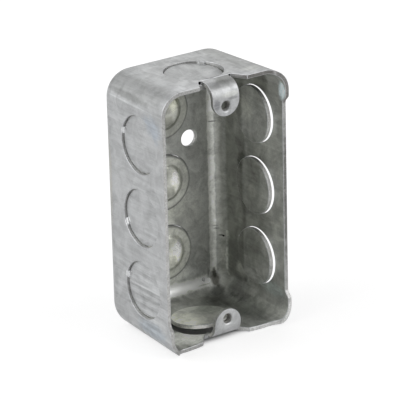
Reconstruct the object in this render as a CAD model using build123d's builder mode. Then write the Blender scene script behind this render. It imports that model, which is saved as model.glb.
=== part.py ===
"""A drawn steel box for switches and sockets, standing on one short end.

The box is one sheet of galvanised steel, pressed into a deep cup and then pierced. It is
drawn standing up: Z runs along its long side, X across it and Y from the open front (the
lower values) to the back. The origin is in the middle of the box's footprint, at the height
of the lower end. All sizes are in millimetres.
"""

import os
from math import atan, degrees, isclose, radians, tan

from build123d import *

# Cup
box_width = 54.5
box_height = 101.6
box_depth = 43.0
sheet = 1.6
rim_corner_radius = 8.4
back_corner_radius = 10.6
back_edge_radius = 7.4
draft = 0.8
lower_bow = 1.1

# Rim, as set back from the front of the corner lobes
side_rim_setback = 2.0
upper_rim_setback = 2.2
lower_rim_setback = 4.0
lobe_height = 10.5
lobe_ramp = 3.8

# Screw tabs, one folded in from each end
tab_hole_inset = 9.13
tab_width = 11.6
upper_tab_setback = 0.8
lower_tab_setback = 2.6
tab_bend_radius = 5.8
tab_lift = 1.0
tab_tip_margin = 3.8
tab_hole_radius = 1.75
tab_collar_radius = 3.0
tab_collar_height = 1.1
tab_hole_rounding = 0.9

# Relief notches, one each side of a tab
relief_floor = 1.4
relief_mouth = 4.6
relief_depth = 7.8

# Knockouts, each a sheared disc that hangs by one tie. A pair of depths says how far a disc is
# pushed in, at its tie and at its free side.
knockout_radius = 11.0
knockout_clearance = 0.15
knockout_pitch = 28.2
left_knockout_depth = 17.6
right_knockout_depth = 18.8
end_knockout_depth = 18.9
end_knockout_offset = -1.3
side_shear = (1.1, 2.15)
upper_shear = (0.7, 2.4)
lower_shear = (1.2, 3.2)
tie_width = 2.6
tie_reach = 1.0
upper_tie_angle = 16.0
middle_tie_angle = -23.0
end_tie_angle = 50.0

# Knockouts of the back, pressed up round a shallow dimple
back_press = 0.6
ridge_foot = 7.8
ridge_radius = 5.8
ridge_height = 0.8
dimple_depth = 0.9

# Mounting holes of the back
mounting_radius = 3.2
mounting_rounding = 0.7
mounting_offset = 11.3
mounting_lift = 1.0

# Values that follow from the sizes above
front = -box_depth / 2
back = box_depth / 2
lean = tan(radians(draft))
middle_height = box_height / 2 - lower_rim_setback * lean
tab_spacing = box_height - 2 * tab_hole_inset
straight_end = box_width / 2 - rim_corner_radius
clear_of_box = 5.0
disc_radius = knockout_radius - knockout_clearance
knockout_rows = (knockout_pitch, 0.0, -knockout_pitch)
front_plane = Plane(origin=(0, front, middle_height), x_dir=(1, 0, 0), z_dir=(0, 1, 0))


def wall_inset(depth):
    """How far a wall has drawn in, at this depth behind the front."""
    return depth * lean


def cup_outline(plane, width, height, radius):
    """A face with rounded corners, whose lower side bows inwards. The plane's Y points down."""
    side = width / 2
    end = height / 2
    flat = side - radius
    upright = end - radius
    with BuildSketch(plane) as outline:
        with BuildLine():
            Line((-flat, -end), (flat, -end))
            RadiusArc((flat, -end), (side, -upright), -radius)
            Line((side, -upright), (side, upright))
            RadiusArc((side, upright), (flat, end), -radius)
            Spline((flat, end), (0, end - lower_bow), (-flat, end), tangents=((-1, 0), (-1, 0)))
            RadiusArc((-flat, end), (-side, upright), -radius)
            Line((-side, upright), (-side, -upright))
            RadiusArc((-side, -upright), (-flat, -end), -radius)
        make_face()
    return outline.sketch


def drawn_form(inset):
    """The cup as a solid block, its surface moved inwards by the inset."""
    depth = box_depth - inset
    back_inset = inset + wall_inset(depth)
    with BuildPart() as form:
        loft(
            [
                cup_outline(
                    front_plane,
                    box_width - 2 * inset,
                    box_height - 2 * inset,
                    rim_corner_radius - inset,
                ).face(),
                cup_outline(
                    front_plane.offset(depth),
                    box_width - 2 * back_inset,
                    box_height - 2 * back_inset,
                    back_corner_radius - inset,
                ).face(),
            ],
            ruled=True,
        )
        back_face = form.faces().sort_by(Axis.Y)[-1]
        fillet(back_face.edges(), radius=back_edge_radius - inset)
    return form.part


def side_rim_cut(side):
    """What is trimmed off one long rim. The upper left corner is the one without a lobe."""
    rim = front + side_rim_setback
    ahead = front - clear_of_box
    lobe_start = middle_height - box_height / 2 + lobe_height
    lobe_end = middle_height + box_height / 2 - lobe_height
    ramp_start = lobe_end - lobe_ramp
    above = middle_height + box_height
    upright = (0, 1)
    with BuildPart() as cut:
        with BuildSketch(Plane.YZ.offset(side * straight_end)):
            with BuildLine():
                Spline(
                    (front, lobe_start),
                    (rim, lobe_start + lobe_ramp),
                    tangents=(upright, upright),
                )
                Line((rim, lobe_start + lobe_ramp), (rim, ramp_start))
                if side > 0:
                    Spline((rim, ramp_start), (front, lobe_end), tangents=(upright, upright))
                    Line((front, lobe_end), (ahead, lobe_end))
                    Line((ahead, lobe_end), (ahead, lobe_start))
                else:
                    Polyline((rim, ramp_start), (rim, above), (ahead, above), (ahead, lobe_start))
                Line((ahead, lobe_start), (front, lobe_start))
            make_face()
        extrude(amount=side * box_width)
    return cut.part


def end_rim_cut(setback, direction):
    """What is trimmed off one short rim, with the relief notches beside its tab.

    The direction is the way out of the box from its middle, up or down.
    """
    rim = front + setback
    relief = front + relief_depth
    lobe_side = box_width / 2 - sheet
    tab_side = tab_width / 2
    ahead = front - clear_of_box
    with BuildPart() as cut:
        with BuildSketch(Plane.XY.offset(middle_height)):
            with BuildLine():
                Polyline(
                    (0, relief),
                    (tab_side + relief_floor, relief),
                    (tab_side + relief_mouth, rim),
                    (straight_end, rim),
                )
                Spline((straight_end, rim), (lobe_side, front), tangents=((1, 0), (1, 0)))
                Polyline((lobe_side, front), (lobe_side, ahead), (0, ahead), (0, relief))
            make_face()
            mirror(about=Plane.YZ)
        extrude(amount=direction * box_height)
    return cut.part


def screw_tab(wall_height, setback, direction):
    """A tab folded in from one end, with its plunged screw hole.

    The wall's height is that of the end's outer face at the front, the setback is that of the
    tab's face, and the direction is the way into the box, up or down.
    """
    half_sheet = sheet / 2
    face = front + setback
    root = relief_depth + sheet
    hole_height = middle_height - direction * tab_spacing / 2
    tip_height = hole_height + direction * tab_tip_margin
    round_centre = tip_height - direction * tab_width / 2

    def wall_centre(depth):
        return wall_height + direction * (wall_inset(depth) + half_sheet)

    corner = (face + half_sheet, wall_centre(setback) + direction * tab_lift)

    with BuildPart() as tab:
        with BuildSketch(Plane.YZ):
            with BuildLine() as fold:
                FilletPolyline(
                    (front + root, wall_centre(root)),
                    corner,
                    (face + half_sheet, tip_height),
                    radius=tab_bend_radius - half_sheet,
                )
            trace(fold.edges(), line_width=sheet)
        extrude(amount=tab_width / 2, both=True)
        with BuildSketch(Plane.XZ.offset(-back)):
            with Locations((0, (wall_height + round_centre) / 2)):
                Rectangle(tab_width, abs(round_centre - wall_height))
            with Locations((0, round_centre)):
                Circle(tab_width / 2)
        extrude(amount=box_depth, mode=Mode.INTERSECT)
        with BuildSketch(Plane.XZ.offset(-face - half_sheet)):
            with Locations((0, hole_height)):
                Circle(tab_collar_radius)
        extrude(amount=-half_sheet - tab_collar_height)
        with BuildSketch(Plane.XZ.offset(-front)):
            with Locations((0, hole_height)):
                Circle(tab_hole_radius)
        extrude(amount=-box_depth / 2, mode=Mode.SUBTRACT)
        mouth = tab.edges().filter_by(GeomType.CIRCLE).group_by(Axis.Y)[0].sort_by(SortBy.RADIUS)[0]
        fillet(mouth, radius=tab_hole_rounding)
    return tab.part


def knockout_hole(plane):
    """The round hole that a knockout was sheared from. The plane's Z points into the box."""
    with BuildPart() as hole:
        with BuildSketch(plane.offset(-sheet)):
            Circle(knockout_radius)
        extrude(amount=3 * sheet)
    return hole.part


def sheared_disc(plane, shear, tie_angle):
    """A knockout pushed into the box, deeper at its front, with the tie that holds it.

    The plane lies on the outer face, its Z points into the box and its X to the back.
    """
    tie_shear, free_shear = shear
    swing = degrees(atan((free_shear - tie_shear) / (2 * disc_radius)))
    middle_shear = (free_shear + tie_shear) / 2
    with BuildPart() as disc:
        with BuildSketch(Plane(plane.location * Location((0, 0, middle_shear), (0, swing, 0)))):
            Circle(disc_radius)
        extrude(amount=sheet)
        with BuildSketch(plane.offset(tie_shear / 2)):
            with PolarLocations(knockout_radius, 1, start_angle=tie_angle):
                Rectangle(2 * tie_reach, tie_width)
        extrude(amount=sheet)
    return disc.part


def dimpled_disc(plane):
    """A knockout of the back, flat but for a pressed ring round a dimple, with its tie."""
    ridge = back_press + ridge_height
    centre = ridge - dimple_depth
    level = (1, 0)
    inward = (-1, 0)
    section = Plane(origin=plane.origin, x_dir=plane.x_dir, z_dir=-plane.y_dir)
    with BuildPart() as disc:
        with BuildSketch(section):
            with BuildLine():
                Spline((0, centre), (ridge_radius, ridge), tangents=(level, level))
                Spline((ridge_radius, ridge), (ridge_foot, back_press), tangents=(level, level))
                Polyline(
                    (ridge_foot, back_press),
                    (disc_radius, back_press),
                    (disc_radius, back_press + sheet),
                    (ridge_foot, back_press + sheet),
                )
                Spline(
                    (ridge_foot, back_press + sheet),
                    (ridge_radius, ridge + sheet),
                    tangents=(inward, inward),
                )
                Spline(
                    (ridge_radius, ridge + sheet), (0, centre + sheet), tangents=(inward, inward)
                )
                Line((0, centre + sheet), (0, centre))
            make_face()
        revolve(axis=Axis(plane.origin, plane.z_dir))
        with BuildSketch(plane.offset(back_press / 2)):
            with Locations((-knockout_radius, 0)):
                Rectangle(2 * tie_reach, tie_width)
        extrude(amount=sheet)
    return disc.part


def side_plane(side, height):
    """The place of a knockout in a long wall, on its outer face."""
    depth = right_knockout_depth if side > 0 else left_knockout_depth
    origin = (side * (box_width / 2 - wall_inset(depth)), front + depth, height)
    return Plane(origin=origin, x_dir=(0, 1, 0), z_dir=(-side, 0, 0))


def end_plane(height, direction):
    """The place of a knockout in a short wall, on its outer face."""
    depth = end_knockout_depth
    origin = (end_knockout_offset, front + depth, height + direction * wall_inset(depth))
    return Plane(origin=origin, x_dir=(0, 1, 0), z_dir=(0, 0, direction))


def back_plane(height):
    """The place of a knockout in the back, on its outer face."""
    return Plane(origin=(0, back, height), x_dir=(1, 0, 0), z_dir=(0, -1, 0))


ends = (
    (middle_height - box_height / 2 + lower_bow, lower_tab_setback, 1, lower_shear),
    (middle_height + box_height / 2, upper_tab_setback, -1, upper_shear),
)

with BuildPart() as box:
    add(drawn_form(0.0))
    add(drawn_form(sheet), mode=Mode.SUBTRACT)
    add(side_rim_cut(-1), mode=Mode.SUBTRACT)
    add(side_rim_cut(1), mode=Mode.SUBTRACT)
    add(end_rim_cut(lower_rim_setback, -1), mode=Mode.SUBTRACT)
    add(end_rim_cut(upper_rim_setback, 1), mode=Mode.SUBTRACT)

    for height, setback, direction, shear in ends:
        add(screw_tab(height, setback, direction))
        add(knockout_hole(end_plane(height, direction)), mode=Mode.SUBTRACT)
        add(sheared_disc(end_plane(height, direction), shear, -direction * end_tie_angle))

    for row, tie_angle in zip(
        knockout_rows, (upper_tie_angle, middle_tie_angle, upper_tie_angle)
    ):
        row_height = middle_height + row
        for side in (-1, 1):
            place = side_plane(side, row_height)
            add(knockout_hole(place), mode=Mode.SUBTRACT)
            add(sheared_disc(place, side_shear, -side * tie_angle))
        add(knockout_hole(back_plane(row_height)), mode=Mode.SUBTRACT)
        add(dimpled_disc(back_plane(row_height)))

    for side in (-1, 1):
        mounting_height = middle_height + side * (knockout_pitch / 2 + mounting_lift)
        with BuildSketch(Plane.XZ.offset(-back - sheet)):
            with Locations((side * mounting_offset, mounting_height)):
                Circle(mounting_radius)
        extrude(amount=3 * sheet, mode=Mode.SUBTRACT)

    mounting_edges = box.edges().filter_by(GeomType.CIRCLE).filter_by(
        lambda edge: isclose(edge.radius, mounting_radius)
    )
    fillet(mounting_edges.group_by(Axis.Y)[0], radius=mounting_rounding)

box.part.label = "box"
os.makedirs("parts", exist_ok=True)
export_step(box.part, "parts/box.step")
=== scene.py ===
"""Dresses the drawn steel box: softened edges, zinc coating, screw threads, floor, lights, camera.

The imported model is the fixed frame: metres, Z up, X across the box, Y from the open front
to the back, the box standing on one short end at Z = 0.
"""

import math

import bmesh
import bpy
import numpy as np
from mathutils import Matrix, Vector


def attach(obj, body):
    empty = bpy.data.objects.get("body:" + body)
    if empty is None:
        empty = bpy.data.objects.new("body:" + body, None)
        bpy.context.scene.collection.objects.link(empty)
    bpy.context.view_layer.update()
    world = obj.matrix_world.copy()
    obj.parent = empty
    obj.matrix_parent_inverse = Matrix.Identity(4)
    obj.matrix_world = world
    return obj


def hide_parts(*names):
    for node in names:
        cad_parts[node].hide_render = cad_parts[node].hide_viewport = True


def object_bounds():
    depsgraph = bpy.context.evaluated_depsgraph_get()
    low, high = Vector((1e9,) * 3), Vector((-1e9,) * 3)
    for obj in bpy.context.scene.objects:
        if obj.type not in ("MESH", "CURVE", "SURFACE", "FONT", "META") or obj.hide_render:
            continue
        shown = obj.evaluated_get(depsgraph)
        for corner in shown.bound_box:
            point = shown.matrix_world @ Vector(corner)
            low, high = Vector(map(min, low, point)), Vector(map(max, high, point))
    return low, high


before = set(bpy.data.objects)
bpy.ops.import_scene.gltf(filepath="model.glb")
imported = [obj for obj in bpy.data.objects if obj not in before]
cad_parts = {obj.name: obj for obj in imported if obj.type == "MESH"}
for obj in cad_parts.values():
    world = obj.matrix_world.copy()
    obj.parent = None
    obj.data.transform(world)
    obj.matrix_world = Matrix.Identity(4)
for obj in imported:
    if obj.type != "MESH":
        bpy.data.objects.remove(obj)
CAD_LOW, CAD_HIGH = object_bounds()

bl_info = {
    "name": "Drawn steel box",
    "version": (1, 0, 0),
    "blender": (4, 5, 0),
    "location": "3D View > Sidebar > Steel Box",
    "description": "Builds the dressed steel box, its zinc finishes and its studio",
    "category": "Object",
}

MM = 0.001
CAD_NODE = "box"
BODY = "root"
SHELL = "steel_shell"
THREADS = "screw_threads"
THREAD_STEEL = "thread_steel"
WHITE = (1.0, 1.0, 1.0)

# Kinds of face, in the order of the shell's materials
OUTSIDE, INSIDE, SHEARED, DISC, BURNISHED = range(5)

# Soft lights of the surround: way round from the front, way up, strength, tightness
SOFT_LIGHTS = (
    (math.radians(257), math.radians(24), 2.55, 6.0),
    (math.radians(38), math.radians(27), 2.2, 8.0),
    (math.radians(145), math.radians(22), 0.95, 8.0),
    (0.0, math.radians(85), 0.3, 4.0),
)

# Bends of the drawn cup, in millimetres: its four corners, and its walls into its back
CORNER_RADIUS = 8.4
BACK_BEND = 7.4

# Least cosine between a face and a direction that it counts as facing
FACING = 0.6

# Keeps a division from zero
TINY = 1e-9

# Mesh of the shell: vertices merged within this many millimetres, faces joined within this
# angle, edges rounded above this one and shaded sharp above the next, and how strongly the
# large faces lead the shading
MERGE = 0.002
FLAT_ANGLE = math.radians(0.3)
ROUNDED_ANGLE = math.radians(45)
SHARP_ANGLE = math.radians(50)
FLAT_WEIGHT = 60

# Faces of a screw tab may lie this many millimetres beyond its width
TAB_MARGIN = 0.05

# Height of each tab hole and where its thread begins, in millimetres
TAB_HOLES = ((9.074, -17.9), (92.414, -19.7))

# A thread ridge: steps in one turn, and its profile in shares of its pitch and its height
THREAD_STEPS = 28
THREAD_PROFILE = ((-0.5, 0.0), (-0.12, 1.0), (0.12, 1.0), (0.5, 0.0))

# Knockouts, in millimetres: height of the middle ones and distance to their neighbours, X and
# Y of those in the ends, their radius, and how deep the inner faces of a disc may lie
MIDDLE = 50.744
PITCH = 28.2
END_OFFSET = -1.3
END_DEPTH = -2.6
DISC_RADIUS = 11.03
BACK_DISC_REACH = 4.0
END_DISC_REACH = 6.5

# Ties of the left wall's knockouts, in Y and Z in millimetres, and a painted highlight on each
TIE_PLACES = ((6.4, 81.5), (5.9, 46.5), (6.5, 25.5))
TIE_GLINTS = tuple(((-26.3, y, z), (2.0, 1.2, 2.0), (1.55, 1.55, 1.55), 0) for y, z in TIE_PLACES)

# Painted shade in the grooves round the back's knockouts: radii between which it sets in and fades
# out, and the Y between which the back begins, all in millimetres, then its colour
GROOVE_SHADE_SETS_IN = (9.8, 10.5)
GROOVE_SHADE_FADES = (10.6, 11.3)
BACK_BEGINS = (17.0, 17.5)
GROOVE_SHADE = (0.06, 0.06, 0.055)

# Strength of the draw marks: the least of it, and what a zone adds
ZONE_LEAST = 0.25
ZONE_SWING = 1.5

# Widths of the scratches that run across the box and of those that run into it
SCRATCH_ACROSS = 0.03
SCRATCH_INWARD = 0.05

# Height of the fine marks and of the scratches, as shares of that of the broad marks
FINE_HEIGHT = 0.35
SCRATCH_HEIGHT = -0.8

# What full polish adds to how metallic and how rough the coating is
POLISH_METALLIC = 0.7
POLISH_ROUGHNESS = -0.25

# The paper's glow sets in between these shares of the box's half width or half depth; under the box it
# is off, as painted shade
GLOW_SETS_IN = (0.55, 0.8)

# Camera: sensor width in millimetres, half a pixel of the photograph as a share of its
# width, and how far the camera sees in metres
SENSOR_WIDTH = 36.0
HALF_PIXEL = 0.5 / 400
SIGHT = 20.0


# Settings

def tint(name, description, colour):
    """A colour setting."""
    return bpy.props.FloatVectorProperty(
        name=name, description=description, subtype="COLOR", default=colour, min=0.0, max=1.0
    )


def length(name, description, millimetres):
    """A setting for a length, given in millimetres."""
    return bpy.props.FloatProperty(
        name=name, description=description, default=millimetres * MM, min=0.0, subtype="DISTANCE"
    )


def amount(name, description, value):
    """A setting for a plain number."""
    return bpy.props.FloatProperty(name=name, description=description, default=value, min=0.0)


def point(name, description, millimetres):
    """A setting for a place, given in millimetres."""
    return bpy.props.FloatVectorProperty(
        name=name,
        description=description,
        default=tuple(value * MM for value in millimetres),
        subtype="TRANSLATION",
    )


class SHELL_PG_sizes(bpy.types.PropertyGroup):
    """Sizes of the pressed shell that its finishing needs."""

    edge_radius: length("Edge rounding", "Width of the rounding left on each sheared edge", 0.2)
    edge_steps: bpy.props.IntProperty(
        name="Edge steps",
        description="Segments across each rounded edge",
        default=2,
        min=1,
        max=4,
    )
    tab_width: length("Tab width", "Width of the two folded screw tabs", 11.6)
    tab_reach: length("Tab reach", "How far a screw tab stands in from its end of the box", 14.0)
    tab_depth: length("Tab depth", "How far behind the front the fold of a tab begins", 8.2)


class THREAD_PG_sizes(bpy.types.PropertyGroup):
    """Sizes of the screw threads in the tab holes."""

    radius: length("Radius", "Outer radius of a thread, that of its hole", 1.77)
    height: length("Height", "How far a thread stands in from its hole", 0.3)
    pitch: length("Pitch", "Distance from one turn to the next", 0.79)
    depth: length("Depth", "How far the thread runs into its hole", 1.9)


class ZINC_PG_finish(bpy.types.PropertyGroup):
    """Colours and marks of the zinc coating and the bare sheared steel."""

    outside: tint("Outside zinc", "The coating outside", (0.56, 0.57, 0.575))
    inside: tint("Inside zinc", "The duller coating inside", (0.53, 0.54, 0.512))
    # The discs' lighter colour is painted light, for the light that falls on the knockouts
    discs: tint("Discs inside", "The rubbed inner faces of the knockouts", (0.72, 0.73, 0.68))
    sheared: tint("Sheared steel", "The cut through the sheet", (0.50, 0.50, 0.49))
    burnished: tint("Burnished edge", "The zinc where an edge has rubbed", (0.62, 0.63, 0.64))
    threads: tint("Threads", "The oily steel in the screw holes", (0.28, 0.275, 0.26))
    streaks: amount("Draw marks", "Strength of the marks that pressing left on the walls", 1.0)
    clouds: amount("Clouding", "Strength of the cloudy patches of the coating", 1.0)


class STUDIO_PG_set(bpy.types.PropertyGroup):
    """Camera, lights and floor round the box."""

    camera_place: point("Camera", "Where the camera stands", (-551.15, -798.40, 433.35))
    camera_aim: point("Aim", "The point the camera looks at", (1.206, -1.236, 49.968))
    camera_roll: bpy.props.FloatProperty(
        name="Roll",
        description="Turn of the camera about its line of sight",
        subtype="ANGLE",
        default=math.radians(-1.452),
    )
    lens: amount("Lens", "Focal length in millimetres on a sensor 36 mm wide", 255.85)
    floor_size: bpy.props.FloatProperty(
        name="Floor",
        description="Side of the square floor",
        default=6.0,
        subtype="DISTANCE",
    )
    floor_glow: amount("Floor glow", "Light that the paper adds, as the box receives it", 0.22)
    floor_lift: amount("Floor lift", "Further glow of the paper as the camera sees it", 0.42)
    surround: amount("Surround", "Brightness of the surround between the soft lights", 0.12)


# Mesh

def read(items, name, width=1, kind=float):
    """One value of every vertex, corner or face of a mesh, or one row of values."""
    values = np.zeros(len(items) * width, kind)
    items.foreach_get(name, values)
    return values.reshape(-1, width) if width > 1 else values


def way_out(flat, half, radius):
    """The way out of a rounded rectangle about the origin, at each of some places."""
    past = np.abs(flat) - (half - radius)
    outer = np.maximum(past, 0.0)
    reach = np.linalg.norm(outer, axis=1)[:, None]
    nearest_side = np.eye(2)[past.argmax(axis=1)]
    return np.where(reach > 0, outer / np.maximum(reach, TINY), nearest_side) * np.sign(flat)


def outward(local, to_back, half):
    """The way out of the box at each face, from the shape of the drawn cup."""
    way = way_out(local[:, [0, 2]], half[[0, 2]], CORNER_RADIUS * MM)
    out = np.stack([way[:, 0], np.zeros(len(way)), way[:, 1]], axis=1)
    to_wall = (half - np.abs(local))[:, [0, 2]].min(axis=1)
    bend = BACK_BEND * MM
    out[(to_back < bend) & (to_wall >= bend)] = (0.0, 1.0, 0.0)
    corner = (to_back < bend) & (to_wall < bend)
    out[corner] *= (bend - to_wall[corner])[:, None]
    out[corner, 1] = bend - to_back[corner]
    return out / np.maximum(np.linalg.norm(out, axis=1), TINY)[:, None]


def on_discs(mesh, half):
    """Which faces lie wholly within a knockout of the back or of an end."""
    x, y, z = read(mesh.vertices, "co", 3).T / MM
    rise = z - MIDDLE
    rise = rise - PITCH * np.clip(np.round(rise / PITCH), -1, 1)
    in_back = (half[1] - y < BACK_DISC_REACH) & (np.hypot(x, rise) < DISC_RADIUS)
    near_end = half[2] - np.abs(z - MIDDLE) < END_DISC_REACH
    in_end = near_end & (np.hypot(x - END_OFFSET, y - END_DEPTH) < DISC_RADIUS)
    corner = read(mesh.loops, "vertex_index", kind=int)
    start = read(mesh.polygons, "loop_start", kind=int)
    return np.logical_and.reduceat((in_back | in_end)[corner], start)


def face_kinds(mesh, sizes):
    """Which faces are the outside, the inside, a disc's inside or the cut of the sheet."""
    centre = read(mesh.polygons, "center", 3)
    normal = read(mesh.polygons, "normal", 3)
    low, high = np.array(CAD_LOW), np.array(CAD_HIGH)
    half = (high - low) / 2
    local = centre - (low + high) / 2
    facing = (normal * outward(local, high[1] - centre[:, 1], half)).sum(axis=1)
    kinds = np.full(len(centre), SHEARED)
    kinds[facing > FACING] = OUTSIDE
    kinds[facing < -FACING] = INSIDE

    tab = (
        (np.abs(centre[:, 0]) < sizes.tab_width / 2 + TAB_MARGIN * MM)
        & (half[2] - np.abs(local[:, 2]) < sizes.tab_reach)
        & (centre[:, 1] - low[1] < sizes.tab_depth)
    )
    towards_end = normal[:, 2] * np.sign(local[:, 2])
    kinds[tab] = SHEARED
    kinds[tab & (-normal[:, 1] + np.maximum(towards_end, 0.0) > FACING)] = OUTSIDE
    kinds[tab & (normal[:, 1] + np.maximum(-towards_end, 0.0) > FACING)] = INSIDE
    kinds[(kinds == INSIDE) & on_discs(mesh, half / MM)] = DISC
    return kinds


def shell_mesh():
    """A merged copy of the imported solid, its flat places freed of needless cuts."""
    shape = bmesh.new()
    shape.from_mesh(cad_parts[CAD_NODE].data)
    bmesh.ops.remove_doubles(shape, verts=shape.verts, dist=MERGE * MM)
    bmesh.ops.dissolve_limit(shape, angle_limit=FLAT_ANGLE, verts=shape.verts, edges=shape.edges)
    mesh = bpy.data.meshes.new(SHELL)
    shape.to_mesh(mesh)
    shape.free()
    if not mesh.polygons:
        raise RuntimeError("the shell has no faces")
    normals = mesh.attributes.get("custom_normal")
    if normals:
        mesh.attributes.remove(normals)
    return mesh


def shade_smooth(mesh):
    """Shades every face of a mesh as part of a curve."""
    mesh.polygons.foreach_set("use_smooth", np.ones(len(mesh.polygons), bool))


def put(context, name, data):
    """Adds an object with this mesh or camera to the scene."""
    made = bpy.data.objects.new(name, data)
    context.scene.collection.objects.link(made)
    return made


def settle(piece):
    """Bakes the piece's modifiers into its mesh."""
    view = bpy.context.evaluated_depsgraph_get()
    done = bpy.data.meshes.new_from_object(piece.evaluated_get(view))
    piece.modifiers.clear()
    piece.data = done


# Shader helpers

def node(tree, kind, **values):
    """Adds a node; a keyword sets its property, or its socket of that name."""
    made = tree.nodes.new(kind)
    for key, value in values.items():
        if hasattr(made, key):
            setattr(made, key, value)
        else:
            made.inputs[key.replace("_", " ")].default_value = value
    return made


def wire(tree, socket, value):
    """Links a socket to another one, or sets it to a constant."""
    if isinstance(value, bpy.types.NodeSocket):
        tree.links.new(value, socket)
    else:
        socket.default_value = value


def sums(tree, operation, first, second=0.0, third=0.0):
    """The result of one Math node."""
    made = node(tree, "ShaderNodeMath", operation=operation)
    for socket, value in zip(made.inputs, (first, second, third)):
        wire(tree, socket, value)
    return made.outputs[0]


def vectors(tree, operation, first, second=(0.0, 0.0, 0.0)):
    """The result of one Vector Math node."""
    made = node(tree, "ShaderNodeVectorMath", operation=operation)
    wire(tree, made.inputs[0], first)
    wire(tree, made.inputs[1], second)
    return made.outputs["Value" if operation in {"LENGTH", "DOT_PRODUCT"} else "Vector"]


def scaled(tree, vector, scale):
    """A vector or a colour, times a number."""
    result = vectors(tree, "SCALE", vector)
    wire(tree, result.node.inputs["Scale"], scale)
    return result


def axes(tree, vector):
    """The X, Y and Z of a vector."""
    made = node(tree, "ShaderNodeSeparateXYZ")
    tree.links.new(vector, made.inputs[0])
    return made.outputs


def between(tree, value, low, high, start=0.0, end=1.0):
    """A smooth step from one value to another."""
    made = node(tree, "ShaderNodeMapRange", interpolation_type="SMOOTHSTEP")
    for socket, constant in zip(made.inputs, (value, low, high, start, end)):
        wire(tree, socket, constant)
    return made.outputs[0]


def mixed(tree, factor, first, second):
    """A colour between two. The colour sockets of the node follow those for other kinds."""
    made = node(tree, "ShaderNodeMix", data_type="RGBA")
    wire(tree, made.inputs["Factor"], factor)
    for socket, colour in zip(made.inputs[6:8], (first, second)):
        is_plain = not isinstance(colour, bpy.types.NodeSocket)
        wire(tree, socket, (*colour, 1.0) if is_plain else colour)
    return made.outputs[2]


def noise(tree, vector, scale, detail=3.0, roughness=0.55, distortion=0.0):
    """Cloudy noise about 0.5."""
    made = node(
        tree,
        "ShaderNodeTexNoise",
        Scale=scale,
        Detail=detail,
        Roughness=roughness,
        Distortion=distortion,
    )
    tree.links.new(vector, made.inputs["Vector"])
    return made.outputs[0]


def new_group(name, inputs, outputs):
    """An empty shader node group, with its input and output nodes."""
    group = bpy.data.node_groups.new(name, "ShaderNodeTree")
    for label, kind in inputs.items():
        group.interface.new_socket(label, in_out="INPUT", socket_type=kind)
    for label in outputs:
        group.interface.new_socket(label, in_out="OUTPUT", socket_type="NodeSocketFloat")
    return group, group.nodes.new("NodeGroupInput"), group.nodes.new("NodeGroupOutput")


def use(tree, group, **values):
    """Places a node group, with its inputs linked or set, and gives its outputs."""
    made = tree.nodes.new("ShaderNodeGroup")
    made.node_tree = group
    for key, value in values.items():
        wire(tree, made.inputs[key], value)
    return made.outputs


# Shared shader groups, each fed with a place on the box in millimetres

def coating_group():
    """Marks of drawing along Y, cloudy zinc, its fine grain and broad zones, from 0 to 1."""
    group, start, end = new_group(
        "zinc_marks", {"Vector": "NodeSocketVector"}, ("Streak", "Fine", "Cloud", "Grain", "Zone")
    )
    place = start.outputs["Vector"]
    broad = vectors(group, "MULTIPLY", place, (1.0, 0.05, 1.0))
    narrow = vectors(group, "MULTIPLY", place, (1.0, 0.03, 1.0))
    aside = vectors(group, "ADD", place, (31.0, 17.0, 53.0))
    found = {
        "Streak": noise(group, broad, scale=0.62, detail=4.0, roughness=0.62, distortion=0.25),
        "Fine": noise(group, narrow, scale=2.6, roughness=0.65),
        "Cloud": noise(group, place, scale=0.17, detail=4.0, roughness=0.6, distortion=0.8),
        "Grain": noise(group, place, scale=1.5, roughness=0.6),
        "Zone": noise(group, aside, scale=0.06, detail=2.0),
    }
    for label, value in found.items():
        group.links.new(between(group, value, 0.3, 0.7), end.inputs[label])
    return group


def scratch_group():
    """Thin broken lines along the first axis of the place."""
    group, start, end = new_group(
        "zinc_scratches", {"Vector": "NodeSocketVector", "Width": "NodeSocketFloat"}, ("Scratch",)
    )
    place = start.outputs["Vector"]
    drawn = vectors(group, "MULTIPLY", place, (0.07, 0.9, 0.9))
    cells = node(group, "ShaderNodeTexVoronoi", feature="DISTANCE_TO_EDGE", Scale=0.8)
    group.links.new(drawn, cells.inputs["Vector"])
    line = between(group, cells.outputs["Distance"], 0.0, start.outputs["Width"], 1.0, 0.0)
    kept = between(group, noise(group, place, scale=0.16, detail=2.0), 0.5, 0.62)
    group.links.new(sums(group, "MULTIPLY", line, kept), end.inputs["Scratch"])
    return group


def patch_group():
    """A soft patch about a centre, ragged at its edge."""
    group, start, end = new_group(
        "zinc_patch",
        {"Vector": "NodeSocketVector", "Centre": "NodeSocketVector", "Size": "NodeSocketVector"},
        ("Mask",),
    )
    place = start.outputs["Vector"]
    away = vectors(group, "SUBTRACT", place, start.outputs["Centre"])
    reach = vectors(group, "LENGTH", vectors(group, "DIVIDE", away, start.outputs["Size"]))
    ragged = sums(group, "MULTIPLY_ADD", noise(group, place, scale=0.5), 0.7, reach)
    group.links.new(between(group, ragged, 0.75, 1.35, 1.0, 0.0), end.inputs["Mask"])
    return group


def band_group():
    """A mask that is 1 between two corners of a block, soft for a distance inside it."""
    group, start, end = new_group(
        "zinc_band",
        {
            "Vector": "NodeSocketVector",
            "Low": "NodeSocketVector",
            "High": "NodeSocketVector",
            "Soft": "NodeSocketFloat",
        },
        ("Mask",),
    )
    place = start.outputs["Vector"]
    waver = sums(group, "SUBTRACT", noise(group, place, scale=0.35), 0.5)
    past_low = vectors(group, "SUBTRACT", place, start.outputs["Low"])
    short_of_high = vectors(group, "SUBTRACT", start.outputs["High"], place)
    inside = axes(group, vectors(group, "MINIMUM", past_low, short_of_high))
    least = sums(group, "MINIMUM", inside["X"], inside["Y"])
    least = sums(group, "MINIMUM", least, inside["Z"])
    least = sums(group, "ADD", least, waver)
    mask = between(group, least, 0.0, start.outputs["Soft"])
    group.links.new(mask, end.inputs["Mask"])
    return group


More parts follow.
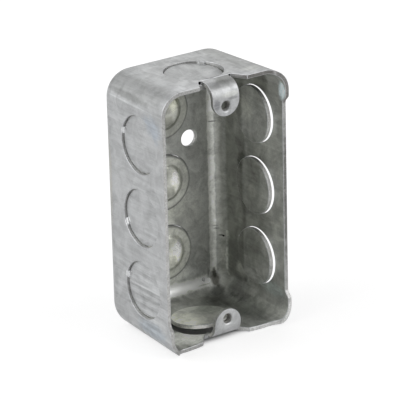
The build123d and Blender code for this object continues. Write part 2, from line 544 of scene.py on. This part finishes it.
def ring_group():
    """Distance from the middle of the nearest knockout in a column of three, in X and Z."""
    group, start, end = new_group("knockout_radius", {"Vector": "NodeSocketVector"}, ("Radius",))
    parts = axes(group, start.outputs["Vector"])
    row = sums(group, "ROUND", sums(group, "DIVIDE", parts["Z"], PITCH))
    row = sums(group, "MINIMUM", sums(group, "MAXIMUM", row, -1.0), 1.0)
    rise = sums(group, "MULTIPLY_ADD", row, -PITCH, parts["Z"])
    flat = node(group, "ShaderNodeCombineXYZ")
    group.links.new(parts["X"], flat.inputs["X"])
    group.links.new(rise, flat.inputs["Z"])
    group.links.new(vectors(group, "LENGTH", flat.outputs[0]), end.inputs["Radius"])
    return group


def shared_groups():
    """The shader groups that every finish draws on, by name."""
    return {
        "marks": coating_group(),
        "scratches": scratch_group(),
        "patch": patch_group(),
        "band": band_group(),
        "ring": ring_group(),
    }


# Materials

def patch_mask(tree, groups, place, centre, size):
    """A mask that is 1 about a centre."""
    return use(tree, groups["patch"], Vector=place, Centre=centre, Size=size)["Mask"]


def tinged(tree, colour, mask, tinge):
    """A colour, times a tinge where the mask is 1."""
    return vectors(tree, "MULTIPLY", colour, mixed(tree, mask, WHITE, tinge))


def coating_tone(tree, groups, look, place, marks):
    """How much lighter or darker its marks make the coating, about 0."""
    drawn = sums(tree, "MULTIPLY_ADD", marks["Zone"], ZONE_SWING, ZONE_LEAST)
    for centre, size, strength in look.get("scored", ()):
        mask = patch_mask(tree, groups, place, centre, size)
        drawn = sums(tree, "MULTIPLY_ADD", mask, strength, drawn)
    drawn = sums(tree, "MULTIPLY", drawn, look["streak"])
    tone = sums(tree, "MULTIPLY", sums(tree, "SUBTRACT", marks["Streak"], 0.5), drawn)
    for label in ("Fine", "Cloud", "Grain"):
        part = sums(tree, "SUBTRACT", marks[label], 0.5)
        tone = sums(tree, "MULTIPLY_ADD", part, look[label.lower()], tone)
    return tone


def coating_colour(tree, groups, look, place, tone):
    """The colour of the coating, and its polish, which is None if no patch has any."""
    colour = scaled(tree, look["colour"], sums(tree, "ADD", tone, 1.0))
    polish = None
    for centre, size, tinge, rubbed in look["patches"]:
        mask = patch_mask(tree, groups, place, centre, size)
        colour = tinged(tree, colour, mask, tinge)
        if rubbed:
            so_far = 0.0 if polish is None else polish
            polish = sums(tree, "MULTIPLY_ADD", mask, rubbed, so_far)
    for low, high, soft, tinge in look["bands"]:
        band = use(tree, groups["band"], Vector=place, Low=low, High=high, Soft=soft)
        colour = tinged(tree, colour, band["Mask"], tinge)
    return colour, polish


def groove_shaded(tree, groups, look, place, colour):
    """A colour with painted shade in the rings round the back's knockouts, where their grooves lie."""
    from_middle = vectors(tree, "SUBTRACT", place, (0.0, 0.0, MIDDLE))
    radius = use(tree, groups["ring"], Vector=from_middle)["Radius"]
    outer = between(tree, radius, *GROOVE_SHADE_SETS_IN)
    inner = between(tree, radius, *GROOVE_SHADE_FADES, 1.0, 0.0)
    on_back = between(tree, axes(tree, place)["Y"], *BACK_BEGINS)
    ring = sums(tree, "MULTIPLY", sums(tree, "MULTIPLY", outer, inner), on_back)
    return mixed(tree, sums(tree, "MULTIPLY", ring, look["groove"]), colour, GROOVE_SHADE)


def scratches(tree, groups, look, place):
    """Scratches that run across the box, and others that run into it."""
    across = use(tree, groups["scratches"], Vector=place, Width=SCRATCH_ACROSS)
    turned = node(tree, "ShaderNodeVectorRotate", rotation_type="Z_AXIS", Angle=math.pi / 2)
    tree.links.new(place, turned.inputs["Vector"])
    inward = use(tree, groups["scratches"], Vector=turned.outputs[0], Width=SCRATCH_INWARD)
    both = sums(tree, "MAXIMUM", across["Scratch"], inward["Scratch"])
    return sums(tree, "MULTIPLY", both, look["scratch"])


def relief(tree, look, marks, scratch):
    """The surface's normal, bumped by the marks and the scratches."""
    height = sums(tree, "MULTIPLY_ADD", marks["Fine"], FINE_HEIGHT, marks["Streak"])
    height = sums(tree, "MULTIPLY_ADD", marks["Grain"], look["grain_height"], height)
    height = sums(tree, "MULTIPLY_ADD", scratch, SCRATCH_HEIGHT, height)
    bump = node(tree, "ShaderNodeBump", Strength=1.0, Distance=look["relief"] * MM)
    tree.links.new(height, bump.inputs["Height"])
    return bump.outputs["Normal"]


def steel(name, groups, look):
    """A zinc finish. The look gives its colours, gloss and the strength of each mark."""
    material = bpy.data.materials.new(name)
    material.use_nodes = True
    tree = material.node_tree
    surface = tree.nodes["Principled BSDF"].inputs
    place = scaled(tree, node(tree, "ShaderNodeTexCoord").outputs["Object"], 1 / MM)
    marks = use(tree, groups["marks"], Vector=place)
    tone = coating_tone(tree, groups, look, place, marks)
    colour, polish = coating_colour(tree, groups, look, place, tone)
    # Painted shade in the grooves round the back's knockouts
    if "groove" in look:
        colour = groove_shaded(tree, groups, look, place, colour)
    scratch = scratches(tree, groups, look, place)
    surface["Metallic"].default_value = look["metallic"]
    rough = sums(tree, "MULTIPLY_ADD", tone, -look["gloss_swing"], look["roughness"])
    if polish is not None:
        bare = sums(tree, "MULTIPLY_ADD", polish, POLISH_METALLIC, look["metallic"])
        bare = sums(tree, "MINIMUM", sums(tree, "MAXIMUM", bare, 0.0), 1.0)
        tree.links.new(bare, surface["Metallic"])
        rough = sums(tree, "MULTIPLY_ADD", polish, POLISH_ROUGHNESS, rough)
    tree.links.new(mixed(tree, scratch, colour, look["bright"]), surface["Base Color"])
    tree.links.new(rough, surface["Roughness"])
    tree.links.new(relief(tree, look, marks, scratch), surface["Normal"])
    return material


# Marks of a look, all placed in millimetres on the box. Scored: centre, size and strength of
# stronger draw marks. Bands: low corner, high corner, softness and tinge of a block. Patches:
# centre, size, tinge and polish of a spot. A tinge multiplies the colour; in many bands and
# patches it is painted light or painted shade.

def outside_look(finish):
    """The coating outside, with draw marks on the left wall, a darker top, and painted highlights and
    painted shade on its bends and tab.
    """
    return {
        "colour": finish.outside,
        "bright": (0.8, 0.81, 0.82),
        "metallic": 0.7,
        "roughness": 0.42,
        "gloss_swing": 0.25,
        "streak": 0.13 * finish.streaks,
        "fine": 0.05 * finish.streaks,
        "cloud": 0.26 * finish.clouds,
        "grain": 0.05,
        "scratch": 0.3,
        "grain_height": 0.15,
        "relief": 0.018,
        "scored": (
            ((-27, -6, 20), (5, 15, 17), 4.0),
            ((-27, -6, 55), (5, 12, 22), 0.8),
            ((-27, -2, 88), (4, 14, 6), 1.0),
        ),
        # Darker towards the back of the top and of the left wall, painted shade on the bend from the
        # left wall into the top, and darker on the top of the upper tab's fold
        "bands": (
            ((-22, 14, 94), (30, 28, 106), 4.0, (0.74, 0.74, 0.73)),
            ((-34, 11, 8), (-22, 30, 94), 4.0, (0.91, 0.91, 0.91)),
            ((-34, -18, 94.5), (-19, 20, 106), 3.0, (0.86, 0.86, 0.85)),
            ((-7, -22, 97.5), (7, -20.2, 100.5), 0.8, (0.75, 0.75, 0.74)),
        ),
        # Lighter and darker patches on the top, painted shade on the bend from the left wall into the
        # top, painted highlights on the ties and where that bend starts, bluish and warm tints on the
        # left wall, lighter on the lower tab, a painted highlight on the upper tab's fold, painted
        # shade above its hole, and darker to the hole's left
        "patches": (
            ((-25.9, 3, 95.4), (2.5, 19, 1.7), (0.68, 0.68, 0.67), 0),
            ((4, 2, 101.5), (34, 26, 5), (0.9, 0.9, 0.89), 0),
            ((20, -4, 101.5), (14, 24, 4), (0.88, 0.88, 0.87), 0),
            ((21, -14, 101), (7, 9, 4), (0.85, 0.85, 0.84), 0),
            *TIE_GLINTS,
            ((-27, 2, 93.3), (3, 16, 0.5), (1.22, 1.22, 1.22), 0),
            ((-27, -12, 87), (4, 8, 6.5), (0.86, 0.91, 0.98), 0),
            ((-27, -9, 8), (4, 12, 5), (0.93, 0.98, 1.03), 0),
            ((-27, 17, 60), (3, 3, 26), (0.98, 0.96, 0.90), 0),
            ((20, 8, 101), (10, 17, 3), (0.87, 0.87, 0.86), 0),
            ((0, -19, 100.5), (8, 3.5, 2.4), (0.68, 0.68, 0.67), 0),
            ((0, -19.3, 9), (7, 1.5, 8), (1.2, 1.2, 1.19), 0),
            ((3, -16, 101), (6, 3.2, 3), (0.7, 0.7, 0.68), 0),
            ((2, -20.7, 96.6), (5, 2.2, 1.4), (1.2, 1.2, 1.15), -0.2),
            ((-4, -20.7, 93.6), (2, 2.2, 2.4), (0.6, 0.6, 0.62), 0),
            ((3, -20.7, 95), (3, 2.2, 0.7), (0.7, 0.7, 0.7), 0),
            ((16, -14, 101.4), (6, 3, 2), (1.2, 1.2, 1.17), 0),
        ),
    }


def inside_look(finish):
    """The duller coating inside, with painted highlights and painted shade on its bends and walls, and
    dark scratches.
    """
    return {
        "colour": finish.inside,
        "bright": (0.6, 0.6, 0.58),
        "metallic": 0.7,
        "roughness": 0.4,
        "gloss_swing": 0.25,
        "streak": 0.14 * finish.streaks,
        "fine": 0.1 * finish.streaks,
        "cloud": 0.42 * finish.clouds,
        "grain": 0.12,
        "scratch": 0.2,
        "grain_height": 0.25,
        "relief": 0.025,
        # Strength of the painted shade in the grooves round the back's knockouts
        "groove": 0.6,
        # Painted highlights on the fillets between the back and the right wall and between the back and
        # the bottom, a lighter strip low on the right wall, painted shade on the right wall, and a
        # painted shadow on the bottom behind its knockout
        "bands": (
            ((19.3, 14, 9.5), (22.4, 24, 97), 0.5, (1.7, 1.7, 1.68)),
            ((22.4, 16.6, 8), (25, 24, 97), 0.5, (1.0, 1.0, 0.98)),
            ((24.6, 14.5, 5), (25.1, 17.6, 27), 0.2, (1.6, 1.6, 1.58)),
            ((18, 3, 8), (32, 16.6, 94), 1.8, (0.62, 0.62, 0.6)),
            ((18, -12, 88), (32, 0, 99), 3.0, (0.65, 0.65, 0.63)),
            ((-24, 15, 3.9), (18.6, 24, 9.8), 1.6, (1.85, 1.85, 1.85)),
            ((-30, 5, -3), (16, 16.6, 3.5), 1.6, (0.7, 0.7, 0.69)),
        ),
        # Painted highlights and glints along the fillet between the back and the bottom, with darker
        # streaks, lighter on the back wall, painted shade in the pocket and crease of the lower back
        # corner and on the bottom's right, painted light on the front of the bottom with a darker spot,
        # a bluish painted highlight in the upper front corner of the right wall, lighter and darker
        # patches on the right wall, and thin dark scratches and a nick
        "patches": (
            ((8, 19, 6.2), (17, 3, 3), (1.35, 1.35, 1.35), 0),
            ((15.5, 19, 5.4), (4, 2, 0.5), (0.55, 0.55, 0.54), 0),
            ((9, 18.8, 4.9), (2.4, 2, 0.7), (0.72, 0.72, 0.71), 0),
            ((5, 19.3, 6.6), (1.6, 2, 0.9), (1.3, 1.3, 1.3), 0.2),
            ((0.5, 19.9, 36), (4, 2, 34), (1.22, 1.22, 1.2), 0),
            ((3, 19.9, 12), (7, 2, 4), (1.35, 1.35, 1.33), 0),
            ((0.6, 18.8, 5.8), (3.2, 2, 1.8), (1.5, 1.5, 1.5), 0.3),
            ((18.2, 19.7, 6.6), (1.3, 1.5, 1.2), (2.6, 2.6, 2.6), 0.2),
            ((20, 15.5, 3.2), (3.4, 3.4, 4), (0.5, 0.5, 0.5), 0),
            ((23.5, -3, 56), (3, 7, 9), (0.8, 0.8, 0.79), 0),
            ((23.2, -6, 22), (3, 8, 9), (0.84, 0.84, 0.83), 0),
            ((25.2, 8, 13), (3, 4, 4.5), (1.6, 1.6, 1.6), 0),
            ((25.2, 8, 36), (3, 3, 9), (1.35, 1.35, 1.35), 0),
            ((25.2, 8.5, 72), (3, 3, 8), (1.3, 1.3, 1.3), 0),
            ((24.5, -20, 5), (3, 4, 4), (1.35, 1.35, 1.35), 0),
            ((5, 19.9, 40), (6, 2, 8), (1.12, 1.12, 1.1), 0),
            ((16.3, 19.6, 7.4), (1.0, 2, 1.3), (1.6, 1.6, 1.6), 0.9),
            ((7, 19.9, 38), (12, 2, 18), (1.2, 1.2, 1.18), 0),
            ((7, 19.9, 12.5), (9, 2, 4), (1.3, 1.3, 1.3), 0),
            ((-11, -10, 2), (12, 9, 3), (1.9, 1.9, 1.88), -0.9),
            ((-16, -14, 2), (3, 4, 3), (0.7, 0.7, 0.7), 0),
            ((25.6, -19.4, 92), (3, 2.6, 4.6), (1.7, 1.9, 2.05), -0.9),
            ((24.5, -1, 42), (3, 13, 46), (0.7, 0.7, 0.69), 0),
            ((25.3, 5.5, 57.5), (2, 4, 6), (0.5, 0.5, 0.48), 0),
            ((24, -2.4, 48.7), (2, 4, 4), (1.3, 1.3, 1.28), 0),
            ((24.2, 0.8, 80), (2, 6, 7), (1.25, 1.25, 1.22), 0),
            ((25, -12, 12), (3, 10, 4), (1.2, 1.28, 1.3), 0),
            ((24, 6, 6), (5, 9, 7), (0.6, 0.6, 0.6), 0),
            ((20, -4, 3), (8, 14, 4), (0.65, 0.66, 0.65), 0),
            ((17, 9, 3), (9, 9, 3), (0.6, 0.6, 0.6), 0.3),
            ((20.9, 18.5, 7), (2.2, 3.2, 5), (0.3, 0.29, 0.27), 0),
            ((21.1, 19.4, 9), (1.0, 1.5, 2.6), (0.4, 0.4, 0.38), 0),
            ((18.6, 19.9, 10), (0.5, 1.5, 2.6), (0.6, 0.6, 0.6), 0),
            ((23.7, 17.9, 24.4), (1.6, 1.6, 0.35), (0.1, 0.1, 0.1), 0),
            ((24.2, 17.2, 24.2), (0.5, 0.8, 0.5), (0.05, 0.05, 0.05), 0),
            ((22.4, 18.9, 27.2), (1.8, 1.5, 0.3), (0.45, 0.45, 0.45), 0),
            ((22, 19.1, 28.4), (1.5, 1.5, 0.25), (0.55, 0.55, 0.55), 0),
            ((21.5, 19.5, 70.4), (2.4, 1.6, 0.3), (0.2, 0.2, 0.2), 0),
        ),
    }


def disc_look(finish):
    """The inner faces of the knockouts, painted brighter than the wall round them for the light that
    falls on them.
    """
    return {
        **inside_look(finish),
        "colour": finish.discs,
        "cloud": 0.4 * finish.clouds,
        "metallic": 0.75,
        "roughness": 0.36,
        # Painted light on the back's knockouts, and painted shade below the middle of each
        "bands": (
            ((-12, 18, 10), (12, 21, 60), 0.5, (1.12, 1.12, 1.1)),
            ((-4, 16, 44.8), (4, 24, 49.8), 1.3, (0.66, 0.66, 0.64)),
            ((-4, 16, 16.6), (4, 24, 21.6), 1.3, (0.66, 0.66, 0.64)),
            ((-4, 16, 72.6), (4, 24, 77.4), 1.3, (0.66, 0.66, 0.64)),
        ),
        # Painted light on the left of the lower end's knockout and painted shade on its right, painted
        # highlights on the dimples of the back's knockouts, lighter round the lower one and darker
        # round the upper one
        "patches": (
            ((-9, -4, 4.8), (10, 14, 3), (1.42, 1.42, 1.36), -0.9),
            ((6, 1, 4.8), (8, 9, 3), (0.86, 0.88, 0.86), 0),
            ((4, 19, 51), (2.4, 3, 6), (1.3, 1.3, 1.25), 0.3),
            ((2, 19, 23), (9, 3, 11), (1.15, 1.15, 1.13), 0),
            ((4, 19, 23), (2.4, 3, 6), (1.4, 1.4, 1.33), 0.3),
            ((4, 19, 79), (14, 3, 13), (0.84, 0.84, 0.82), 0),
            ((4, 19, 82), (3, 3, 5), (1.35, 1.35, 1.25), 0.3),
        ),
    }


def sheared_look(finish):
    """The cut through the sheet: grainy, with painted shade and painted light on its faces."""
    return {
        "colour": finish.sheared,
        "bright": (0.75, 0.75, 0.74),
        "metallic": 0.8,
        "roughness": 0.4,
        "gloss_swing": 0.2,
        "streak": 0.1,
        "fine": 0.25,
        "cloud": 0.2,
        "grain": 0.25,
        "scratch": 0.3,
        "grain_height": 0.8,
        "relief": 0.03,
        # Painted shade on the cut of the upper right corner, and painted light on the cut at the front
        # of the bottom
        "bands": (
            ((9, -26, 97), (22, -15, 105), 1.0, (0.42, 0.41, 0.40)),
            ((22, -26, 87), (31, -17, 101), 1.0, (0.5, 0.49, 0.48)),
            ((-16, -16.5, 1.9), (14, 12, 7), 0.4, (1.3, 1.3, 1.27)),
        ),
        # Painted shade on the cut of the right wall, lighter on the cuts of the lower right corner, the
        # bottom's front, the right wall's knockouts, the left wall and the upper tab's notch, painted
        # light on the side of the lower end's knockout, and painted shade on the lower tab's hole and
        # the left wall's lower corner
        "patches": (
            ((27, -20.5, 52), (3.5, 3, 38), (0.42, 0.42, 0.41), 0),
            ((26, -20.5, 5), (4, 4, 8), (1.6, 1.6, 1.6), -0.3),
            ((13, -18, 1), (19, 5, 4), (1.5, 1.5, 1.5), -0.3),
            ((24.5, -11, 50), (2.4, 7, 60), (2.2, 2.2, 2.18), 0),
            ((-3, -12, 4), (14, 6, 3), (1.8, 1.8, 1.76), -0.4),
            ((-26.5, -20.5, 48), (3, 3, 60), (1.25, 1.25, 1.25), 0),
            ((-5.8, -17.5, 99.5), (1.5, 3, 3), (1.8, 1.8, 1.8), 0),
            ((0, -18.5, 7.4), (2.8, 2.5, 1.5), (0.45, 0.45, 0.45), 0),
            ((-26.4, -20.5, 12.2), (2, 2.4, 2.6), (0.62, 0.62, 0.62), -0.5),
        ),
    }


def thread_look(finish):
    """The oily steel of the screw threads."""
    return {
        **sheared_look(finish),
        "colour": finish.threads,
        "roughness": 0.45,
        "patches": (),
    }


def burnished_look(finish):
    """The rounding of the sheared edges, rubbed smooth, with painted shade and painted highlights."""
    return {
        **sheared_look(finish),
        "colour": finish.burnished,
        "roughness": 0.32,
        "fine": 0.1,
        "grain": 0.15,
        "bands": (),
        # Painted shade on the edges inside the box, on the right rim, in the lower tab's hole and at
        # the left wall's lower corner, and painted highlights on the ties
        "patches": (
            ((2, 8, 50), (24.5, 21, 60), (0.45, 0.45, 0.43), 0),
            ((27.5, -19.5, 54), (2, 4, 38), (0.45, 0.45, 0.45), 0),
            ((0, -18.5, 7.4), (2.8, 2.5, 1.5), (0.4, 0.4, 0.4), -0.5),
            ((-26.4, -20.5, 12.2), (2, 2.4, 2.6), (0.7, 0.7, 0.7), -0.4),
            *TIE_GLINTS,
        ),
    }


def paper(studio):
    """White paper, brighter to the camera than as the box receives it. It glows beside the box only."""
    material = bpy.data.materials.new("white_paper")
    material.use_nodes = True
    tree = material.node_tree
    surface = tree.nodes["Principled BSDF"].inputs
    surface["Base Color"].default_value = (0.5, 0.5, 0.5, 1)
    surface["Roughness"].default_value = 0.9
    surface["Specular IOR Level"].default_value = 0.0
    surface["Emission Color"].default_value = (1, 1, 1, 1)
    seen = node(tree, "ShaderNodeLightPath").outputs["Is Camera Ray"]
    glow = sums(tree, "MULTIPLY_ADD", seen, studio.floor_lift, studio.floor_glow)
    place = node(tree, "ShaderNodeTexCoord").outputs["Object"]
    share = vectors(tree, "DIVIDE", vectors(tree, "ABSOLUTE", place), tuple(CAD_HIGH))
    sides = axes(tree, share)
    beside = sums(tree, "MAXIMUM", sides["X"], sides["Y"])
    # No glow under the box: painted shade on the paper it stands over
    glow = sums(tree, "MULTIPLY", glow, between(tree, beside, *GLOW_SETS_IN))
    tree.links.new(glow, surface["Emission Strength"])
    return material


# Operators

class BOX_OT_shell(bpy.types.Operator):
    """Builds the pressed shell with its softened edges and zinc finishes"""

    bl_idname = "box.shell"
    bl_label = "Build the shell"

    def execute(self, context):
        sizes = context.scene.shell_sizes
        finish = context.scene.zinc_finish
        mesh = shell_mesh()
        groups = shared_groups()
        for name, look in (
            ("zinc_outside", outside_look(finish)),
            ("zinc_inside", inside_look(finish)),
            ("sheared_steel", sheared_look(finish)),
            ("zinc_discs", disc_look(finish)),
            ("burnished_edge", burnished_look(finish)),
        ):
            mesh.materials.append(steel(name, groups, look))
        steel(THREAD_STEEL, groups, thread_look(finish))
        mesh.polygons.foreach_set("material_index", face_kinds(mesh, sizes).astype(np.int32))
        shade_smooth(mesh)
        shell = put(context, SHELL, mesh)
        self.round_edges(shell, sizes)
        self.even_flats(shell)
        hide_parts(CAD_NODE)
        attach(shell, BODY)
        return {"FINISHED"}

    def round_edges(self, shell, sizes):
        """Rounds every edge of the sheet a little."""
        bevel = shell.modifiers.new("Sheared edges", "BEVEL")
        bevel.width = sizes.edge_radius
        bevel.segments = sizes.edge_steps
        bevel.limit_method = "ANGLE"
        bevel.angle_limit = ROUNDED_ANGLE
        bevel.use_clamp_overlap = False
        bevel.material = BURNISHED
        settle(shell)

    def even_flats(self, shell):
        """Keeps the shading of flat places flat beside the rounded edges."""
        shell.data.set_sharp_from_angle(angle=SHARP_ANGLE)
        level = shell.modifiers.new("Even flats", "WEIGHTED_NORMAL")
        level.mode = "FACE_AREA"
        level.weight = FLAT_WEIGHT
        level.keep_sharp = True
        settle(shell)


class BOX_OT_threads(bpy.types.Operator):
    """Cuts the fine screw threads inside the holes of both tabs"""

    bl_idname = "box.threads"
    bl_label = "Add the screw threads"

    def execute(self, context):
        sizes = context.scene.thread_sizes
        shape = bmesh.new()
        for height, face in TAB_HOLES:
            self.ridge(shape, sizes, height * MM, face * MM)
        bmesh.ops.recalc_face_normals(shape, faces=shape.faces)
        mesh = bpy.data.meshes.new(THREADS)
        shape.to_mesh(mesh)
        shape.free()
        if not mesh.polygons:
            raise RuntimeError("the screw threads have no faces")
        shade_smooth(mesh)
        mesh.materials.append(bpy.data.materials[THREAD_STEEL])
        threads = put(context, THREADS, mesh)
        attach(threads, BODY)
        return {"FINISHED"}

    def ridge(self, shape, sizes, height, face):
        """One helical ridge, from the front of a tab to the end of its collar."""
        turns = sizes.depth / sizes.pitch
        rings = []
        for step in range(int(THREAD_STEPS * turns) + 1):
            turn = 2 * math.pi * step / THREAD_STEPS
            along = face + sizes.pitch * step / THREAD_STEPS
            ring = []
            for rise, inset in THREAD_PROFILE:
                radius = sizes.radius - inset * sizes.height
                x = radius * math.cos(turn)
                z = height + radius * math.sin(turn)
                ring.append(shape.verts.new((x, along + rise * sizes.pitch, z)))
            rings.append(ring)
        for first, second in zip(rings, rings[1:]):
            for side in range(len(THREAD_PROFILE)):
                after = (side + 1) % len(THREAD_PROFILE)
                shape.faces.new((first[side], first[after], second[after], second[side]))
        shape.faces.new(rings[0])
        shape.faces.new(reversed(rings[-1]))


class BOX_OT_stage(bpy.types.Operator):
    """Sets the floor, the surround, the lights and the camera"""

    bl_idname = "box.stage"
    bl_label = "Set the stage"

    def execute(self, context):
        studio = context.scene.studio_set
        self.floor(context, studio)
        self.surround(context, studio)
        self.camera(context, studio)
        return {"FINISHED"}

    def floor(self, context, studio):
        """A square of paper under the box."""
        mesh = bpy.data.meshes.new("floor")
        reach = studio.floor_size / 2
        corners = [(-reach, -reach, 0), (reach, -reach, 0), (reach, reach, 0), (-reach, reach, 0)]
        mesh.from_pydata(corners, [], [(0, 1, 2, 3)])
        mesh.materials.append(paper(studio))
        floor = put(context, "floor", mesh)

    def surround(self, context, studio):
        """A dim surround with soft round lights in it."""
        world = bpy.data.worlds.new("studio")
        world.use_nodes = True
        tree = world.node_tree
        toward = vectors(tree, "NORMALIZE", node(tree, "ShaderNodeTexCoord").outputs["Generated"])
        brightness = studio.surround
        for turn, rise, strength, tightness in SOFT_LIGHTS:
            heading = Vector((math.sin(turn), -math.cos(turn), math.tan(rise))).normalized()
            facing = vectors(tree, "DOT_PRODUCT", toward, heading)
            falling = sums(tree, "MULTIPLY_ADD", facing, tightness, -tightness)
            glow = sums(tree, "POWER", math.e, falling)
            brightness = sums(tree, "MULTIPLY_ADD", glow, strength, brightness)
        background = tree.nodes["Background"]
        background.inputs["Color"].default_value = (1, 1, 1, 1)
        tree.links.new(brightness, background.inputs["Strength"])
        context.scene.world = world
        context.scene.view_settings.view_transform = "Standard"

    def camera(self, context, studio):
        """The camera of the photograph."""
        data = bpy.data.cameras.new("camera")
        data.sensor_width = SENSOR_WIDTH
        data.lens = studio.lens
        data.clip_end = SIGHT
        data.shift_x = -HALF_PIXEL
        data.shift_y = HALF_PIXEL
        camera = put(context, "camera", data)
        sight = Vector(studio.camera_aim) - Vector(studio.camera_place)
        turn = sight.to_track_quat("-Z", "Y").to_matrix().to_4x4()
        roll = Matrix.Rotation(studio.camera_roll, 4, "Z")
        camera.matrix_world = Matrix.Translation(studio.camera_place) @ turn @ roll
        context.scene.camera = camera


class BOX_PT_panel(bpy.types.Panel):
    """Lists the steps that build the dressed box"""

    bl_label = "Steel Box"
    bl_space_type = "VIEW_3D"
    bl_region_type = "UI"
    bl_category = "Steel Box"

    def draw(self, context):
        for step in STEPS:
            self.layout.operator(step.bl_idname)


SETTINGS = {
    "shell_sizes": SHELL_PG_sizes,
    "thread_sizes": THREAD_PG_sizes,
    "zinc_finish": ZINC_PG_finish,
    "studio_set": STUDIO_PG_set,
}
STEPS = (BOX_OT_shell, BOX_OT_threads, BOX_OT_stage)
CLASSES = (*SETTINGS.values(), *STEPS, BOX_PT_panel)


def register():
    """Adds the classes, and their settings to every scene."""
    for item in CLASSES:
        bpy.utils.register_class(item)
    for name, group in SETTINGS.items():
        setattr(bpy.types.Scene, name, bpy.props.PointerProperty(type=group))


def unregister():
    """Takes away what register added."""
    for name in SETTINGS:
        delattr(bpy.types.Scene, name)
    for item in reversed(CLASSES):
        bpy.utils.unregister_class(item)


def main():
    """Builds the dressed box and its stage."""
    register()
    bpy.ops.box.shell()
    bpy.ops.box.threads()
    bpy.ops.box.stage()


if __name__ == "__main__":
    main()
